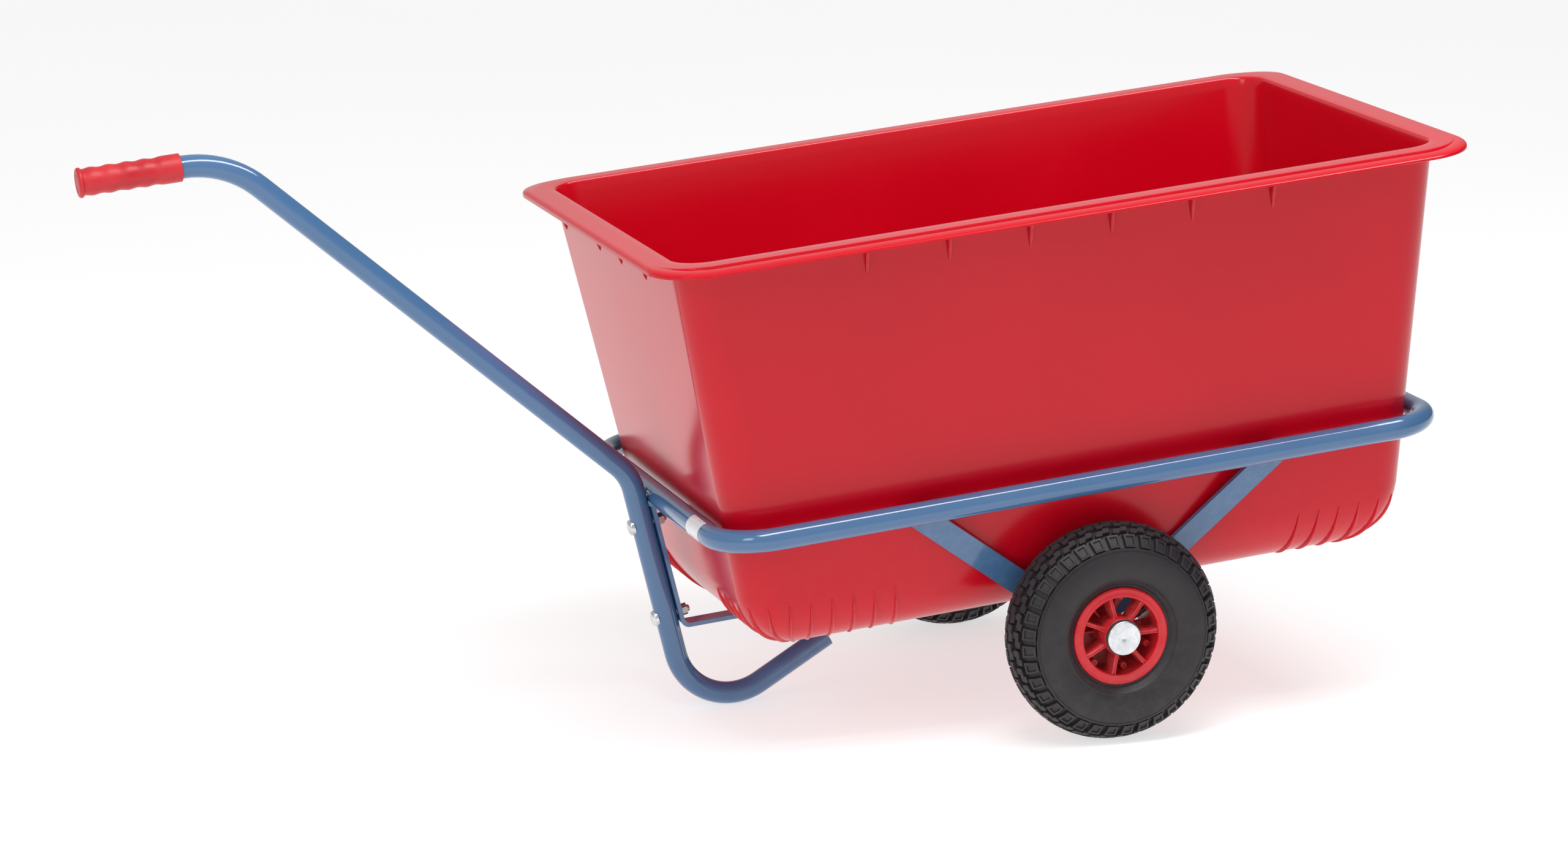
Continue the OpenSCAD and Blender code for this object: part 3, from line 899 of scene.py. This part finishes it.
def build_grip():
    place = CHASSIS @ Matrix.Translation((GRIP_END, 0, HANDLE_LEVEL)) @ Matrix.Rotation(math.pi / 2, 4, "Y")
    outline = [(0, 0), (9, 0), (9.4, 0.5), (10.6, 0.5), (11, 0), (14, 0)]
    outline += arc((14.5, 3), 3, -80, 0, 6)
    outline += [(17.5, 3.8), (17.2, 4.7), (16.6, 5.1), (16.1, 5.9)]
    for i in range(GRIP_STEPS + 1):
        share = i / GRIP_STEPS
        swell = 0.5 - 0.5 * math.cos(2 * math.pi * GRIP_WAVES * share)
        along = GRIP_WAVES_FROM + (GRIP_WAVES_TO - GRIP_WAVES_FROM) * share
        outline.append((GRIP_WAIST_R + GRIP_SWELL * swell, along))
    outline += [(16.5, 101), (16.5, 106), (16.5, 112), (16.45, 118)]
    outline += arc((15.3, 118.8), 1.2, 0, 90, 4)
    outline += [(13.4, 120), (13.4, 3.5), (0, 3.5)]
    shells = [turned(outline, 72)]
    piece("grip_moulding", shells, grip_plastic, "chassis", place, ["grip"], crease=40)


# ---- bolts ----

LEG_TOP = Vector((-481.158, 175.117))
LEG_LEAN = 8.3
BOLT_FIRST = 28
BOLT_PITCH = 117
SHANK_R = 3.98

# Radius, and height measured from the tube's outside
BOLT_DOME = [(0, -5.2), (4, -5.0), (7, -4.2), (9, -2.6), (9.6, -0.9), (9.6, 2.5), (SHANK_R, 2.5)]


def build_bolts():
    outline = [(r, h - TUBE_R) for r, h in BOLT_DOME]
    outline += [(SHANK_R, 29), (3.2, 29.9), (0, 29.9)]
    points, faces = turned(outline, 40)
    c, s = wave(LEG_LEAN)
    turn = Matrix.Rotation(math.radians(90 - LEG_LEAN), 4, "Y")
    shells = []
    for i in range(2):
        at = LEG_TOP + Vector((s, -c)) * (BOLT_FIRST + i * BOLT_PITCH)
        shift = Matrix.Translation((at.x, 0, at.y))
        shells.append(([tuple(shift @ turn @ Vector(point)) for point in points], faces))
    piece("bolt_domes", shells, bright_zinc, "chassis", CHASSIS, ["drawbar_bolts"], crease=50)


# ---- wheels ----

TYRE_CENTRE_R = 87.5
TREAD_BASE = 37.7
PITCHES = 36
BARREL_R = 50
BARREL_IN = 46.5
FLANGE_R = 58.65
FLANGE_FACE = 33.3
FLANGE_BACK = 25.7
FLANGE_LIP_R = 1.6
FLANGE_ROLL_R = 3.2
HUB_R = 22
BUSH_R = 13
HUB_END = 37.5
SPOKES = 7
SPOKE_PHASE = 3
WEB_OUTLINE = ((21.5, -22.2), (47, -22.2), (47, -23.8), (21.5, -23.8))
WEB_OPENING = 48
WEB_STEPS = 72

# Radius along a spoke, then how much wider than usual it is there
SPOKE_FLARES = ((21, 1.15), (23, 1.0), (34, 0.9), (43, 0.95), (45.8, 1.05), (48, 1.3))
SPOKE_HALF = 2.5
BOSS_RING_R = 43
BOSS_OUTLINE = [(0, 0), (4.2, 0), (4.2, 11.2), (3.6, 12), (1.2, 12), (1.0, 11.4), (0, 11.4)]


def section_point(bearing, height):
    """Radius and height of a point of the tyre's section, measured from its middle."""
    c, s = wave(bearing)
    return TYRE_CENTRE_R + height * c, height * s


def on_tyre(round_angle, bearing, height):
    r, z = section_point(bearing, height)
    c, s = wave(round_angle)
    return r * c, r * s, z


def casing_outline():
    """The tyre's section without its blocks: tread base, shoulder line, side wall and bead."""
    side = [
        (0, TREAD_BASE), (15, TREAD_BASE), (30, TREAD_BASE), (45, TREAD_BASE), (58, TREAD_BASE),
        (61.2, 38.6), (62.6, 41.4), (63.6, 42.3), (65.4, 42.4), (66.0, 43.4), (67.2, 43.4), (67.8, 42.4),
        (73, 42.5), (80, 42.5), (88, 42.5), (96, 42.5), (104, 42.4), (110, 42.2), (114, 41.9),
        (115.2, 42.4), (116.6, 42.4), (117.8, 41.7), (122, 41.3), (127, 40.6), (131, 40.2),
    ]
    upper = [section_point(bearing, height) for bearing, height in side]
    upper += [(58.9, 29.8), (58.9, 25.4), (50.4, 25.2), (50.4, 15), (55.5, 13)]
    upper += [section_point(bearing, 36.5) for bearing in (150, 130, 110, 90, 70, 50, 30, 10)]
    lower = [(r, -z) for r, z in upper[::-1]]
    return upper + lower[:-1]


def tread_block(levels, outline, turn, flip):
    """A block over the casing: its outline of (round, bearing) scaled and lifted level by level."""
    middle_a = sum(a for a, _ in outline) / len(outline)
    middle_b = sum(b for _, b in outline) / len(outline)
    rings = []
    for scale, height in levels:
        ring = []
        for a, b in outline:
            around = middle_a + (a - middle_a) * scale
            bearing = middle_b + (b - middle_b) * scale
            ring.append(on_tyre(turn + around, flip * bearing, height))
        rings.append(ring)
    return over_rings(rings)


LUG = [(-3.5, 37.5), (0, 37.5), (3.5, 37.5), (3.3, 49), (3.1, 61), (0, 61), (-3.1, 61), (-3.3, 49)]
LUG_LEVELS = [(1.07, 37.2), (1.0, 42.1), (0.95, 42.5), (0.64, 42.5), (0.58, 40.6)]
STAIR = [
    (-4.3, 19.5), (-0.9, 19.5), (-0.9, 24), (3.4, 24), (4.4, 29),
    (4.4, 34.5), (0.9, 34.5), (0.4, 30.5), (-3.6, 30.5), (-4.3, 26),
]
ZIGZAG = [
    (-4.4, 1.8), (-1.2, 1.8), (0.2, 6), (4.3, 6), (4.3, 16.5), (1.0, 16.5), (-0.3, 12.5), (-4.4, 12.5),
]
BLOCK_LEVELS = [(1.1, 37.2), (1.0, 42.1), (0.94, 42.5)]


def tyre_shells():
    shells = [turned(casing_outline(), 144)]
    pitch = 360 / PITCHES
    for i in range(PITCHES):
        for flip in (-1, 1):
            turn = pitch * (i + (0.5 if flip > 0 else 0))
            shells.append(tread_block(LUG_LEVELS, LUG, turn, flip))
            shells.append(tread_block(BLOCK_LEVELS, STAIR, turn + pitch * 0.42, flip))
            shells.append(tread_block(BLOCK_LEVELS, ZIGZAG, turn + pitch * 0.15, flip))
    return shells


def spoke_shell(bearing):
    """A wide spoke with a shallow channel along its face, flared where it meets the flange."""
    c, s = wave(bearing)
    rings = []
    for r, flare in SPOKE_FLARES:
        half = SPOKE_HALF * flare
        outline = [
            (-half - 0.5, 8), (half + 0.5, 8), (half, 30.2), (half - 0.5, 30.8), (half - 1.1, 30.8),
            (half - 1.5, 29.8), (1.5 - half, 29.8), (1.1 - half, 30.8), (0.5 - half, 30.8), (-half, 30.2),
        ]
        rings.append([(r * c - t * s, r * s + t * c, z) for t, z in outline])
    return over_rings(rings)


def outer_rim_shells():
    flange = [(BARREL_IN, 0), (BARREL_IN, 31.0)]
    flange += arc((BARREL_IN + FLANGE_LIP_R, FLANGE_FACE - FLANGE_LIP_R), FLANGE_LIP_R, 180, 90, 5)
    flange += [(49.6, FLANGE_FACE), (50.6, 32.9), (54.2, 32.8), (55.2, 33.0)]
    flange += arc((FLANGE_R - FLANGE_ROLL_R, 30.1), FLANGE_ROLL_R, 85, 0, 8)
    flange += [(FLANGE_R, 26.4), (58.0, FLANGE_BACK), (BARREL_R, FLANGE_BACK), (BARREL_R, 0)]
    hub = [(BUSH_R, 0), (BUSH_R, HUB_END)]
    hub += arc((HUB_R - 1.5, HUB_END - 1.5), 1.5, 90, 0, 5) + [(HUB_R, 0)]
    shells = [turned(flange, 120), turned(hub, 72)]
    for i in range(SPOKES):
        shells.append(spoke_shell(SPOKE_PHASE + 360 * i / SPOKES))
    for i in range(1, SPOKES):
        c, s = wave(SPOKE_PHASE + 180 / SPOKES + 360 * i / SPOKES)
        shells.append(turned(BOSS_OUTLINE, 24, (BOSS_RING_R * c, BOSS_RING_R * s)))
    return shells


def rim_web_shell():
    """The thin wall at the back of the spokes, left open where the valve is reached."""
    start = SPOKE_PHASE + 180 / SPOKES + WEB_OPENING / 2
    rings = []
    for i in range(WEB_STEPS + 1):
        c, s = wave(start + (360 - WEB_OPENING) * i / WEB_STEPS)
        rings.append([(r * c, r * s, z) for r, z in WEB_OUTLINE])
    return over_rings(rings)


def hub_cap_outline():
    outline = [(0, 43.3), (1.6, 43.35), (2.6, 43.75), (3.4, 44.0), (9, 44.15), (15, 44.2), (18.4, 44.05)]
    outline += arc((18.7, 42.4), 1.7, 75, 0, 6)
    outline += [(20.4, 39.8), (19.2, 39.8), (19.2, 42.8), (12, 43.0), (12, 39.8)]
    return outline + [(10.02, 39.8), (10.02, 42.9), (0, 42.9)]


def build_wheel(side):
    name = SIDE_NAME[side]
    body = "wheel_" + name
    place = WHEEL[side]
    tyre = tyre_shells()
    rim = outer_rim_shells()
    web = [rim_web_shell()]
    cap = [turned(hub_cap_outline())]
    piece("tyre_tread_" + name, tyre, tyre_rubber, body, place, ["tyre_" + name], crease=30)
    piece("rim_face_" + name, rim, wheel_plastic, body, place, ["outer_rim_" + name])
    piece("rim_web_" + name, web, wheel_plastic, body, place)
    piece("hub_cover_" + name, cap, bright_zinc, "chassis", place, ["hub_cap_" + name], crease=40)


build_tub()
build_ring_frame()
build_drawbar()
build_welds()
build_label()
build_grip()
build_bolts()
for side in (LEFT, RIGHT):
    build_wheel(side)


# ---- the CAD pieces that stay ----

STRUT_ROUNDING = 0.8
STRAP_ROUNDING = 0.7
ROUNDING_ANGLE = 50
KEPT = {}
ROUNDED = {}
for name in SIDE_NAME.values():
    for end in ("front", "rear"):
        KEPT[end + "_strut_" + name] = frame_paint
        ROUNDED[end + "_strut_" + name] = STRUT_ROUNDING
for name in ("axle_bearer", "cradle_strap"):
    KEPT[name] = frame_paint
    ROUNDED[name] = STRAP_ROUNDING
KEPT["axle_collars"] = frame_paint
KEPT["axle"] = bright_zinc
KEPT["drawbar_washers"] = dull_zinc
KEPT["drawbar_nuts"] = dull_zinc
for name in SIDE_NAME.values():
    KEPT["inner_tube_" + name] = tyre_rubber
    KEPT["inner_rim_" + name] = wheel_plastic
    KEPT["rim_screws_" + name] = bright_zinc
    KEPT["hub_bushes_" + name] = pale_bush
    KEPT["valve_" + name] = black_plastic
    KEPT["valve_cap_" + name] = black_plastic
    KEPT["inner_washer_" + name] = bright_zinc
    KEPT["outer_washer_" + name] = black_plastic

for name, surface in KEPT.items():
    node = frame["nodes"][name]
    if not node.material_slots:
        node.data.materials.append(surface)
    for slot in node.material_slots:
        slot.material = surface
    if name in ROUNDED:
        rounding = node.modifiers.new("eased edges", "BEVEL")
        rounding.width = ROUNDED[name] * MM
        rounding.segments = 2
        rounding.limit_method = "ANGLE"
        rounding.angle_limit = math.radians(ROUNDING_ANGLE)


# ---- floor and light ----

WHITE = (1, 1, 1, 1)
FLOOR_HALF = 30.0
FLOOR_GLOW = 0.64
FLOOR_DEEP = (0.5, 0.5, 0.5, 1)
FLOOR_LIGHT = (0.51, 0.51, 0.51, 1)
FLOOR_DRIFT = 0.7
ROOM_LIGHT = 0.6
ROOM_REAR_LIGHT = 0.1


def build_floor():
    material = bpy.data.materials.new("pale studio floor")
    material.use_nodes = True
    bench = Bench(material.node_tree)
    shader = material.node_tree.nodes["Principled BSDF"]
    made = bench.node("ShaderNodeGroup", node_tree=DRIFT)
    made.inputs["Scale"].default_value = FLOOR_DRIFT
    tone = bench.blend(made.outputs[0], FLOOR_DEEP, FLOOR_LIGHT)
    bench.feed(shader.inputs["Base Color"], tone)
    shader.inputs["Emission Color"].default_value = WHITE
    shader.inputs["Emission Strength"].default_value = FLOOR_GLOW
    shader.inputs["Roughness"].default_value = 0.75
    shader.inputs["Specular IOR Level"].default_value = 0.2
    mesh = bpy.data.meshes.new("floor")
    work = bmesh.new()
    bmesh.ops.create_grid(work, x_segments=8, y_segments=8, size=FLOOR_HALF)
    work.to_mesh(mesh)
    work.free()
    mesh.materials.append(material)
    floor = bpy.data.objects.new("floor", mesh)
    bpy.context.scene.collection.objects.link(floor)


def soft_light(name, place, target, size, power):
    data = bpy.data.lights.new(name, "AREA")
    data.shape = "RECTANGLE"
    data.size, data.size_y = size
    data.energy = power
    lamp = bpy.data.objects.new(name, data)
    lamp.location = place
    lamp.rotation_euler = (Vector(target) - Vector(place)).to_track_quat("-Z", "Y").to_euler()
    bpy.context.scene.collection.objects.link(lamp)


def white_room(strength, rear_strength):
    """White all round to look at; the light it gives falls off towards the rear of the cart."""
    world = bpy.data.worlds.new("white room")
    bpy.context.scene.world = world
    world.use_nodes = True
    bench = Bench(world.node_tree)
    sky = world.node_tree.nodes["Background"]
    sky.inputs["Color"].default_value = WHITE
    parts = bench.node("ShaderNodeSeparateXYZ")
    bench.feed(parts.inputs[0], bench.node("ShaderNodeTexCoord").outputs["Generated"])
    rearward = bench.band(parts.outputs["X"], low=0.25, high=0.85)
    given = bench.math("SUBTRACT", strength, bench.math("MULTIPLY", rearward, strength - rear_strength))
    seen = bench.node("ShaderNodeLightPath").outputs["Is Camera Ray"]
    level = bench.math("MAXIMUM", given, seen)
    bench.feed(sky.inputs["Strength"], level)


build_floor()
white_room(ROOM_LIGHT, ROOM_REAR_LIGHT)
soft_light("top light", (0.5, -0.9, 3.1), target=(0.1, 0, 0.2), size=(3.4, 0.7), power=82)
soft_light("left light", (-2.6, -2.4, 2.4), target=(0, 0, 0.4), size=(1.0, 1.4), power=18)
bpy.context.scene.view_settings.view_transform = "Standard"
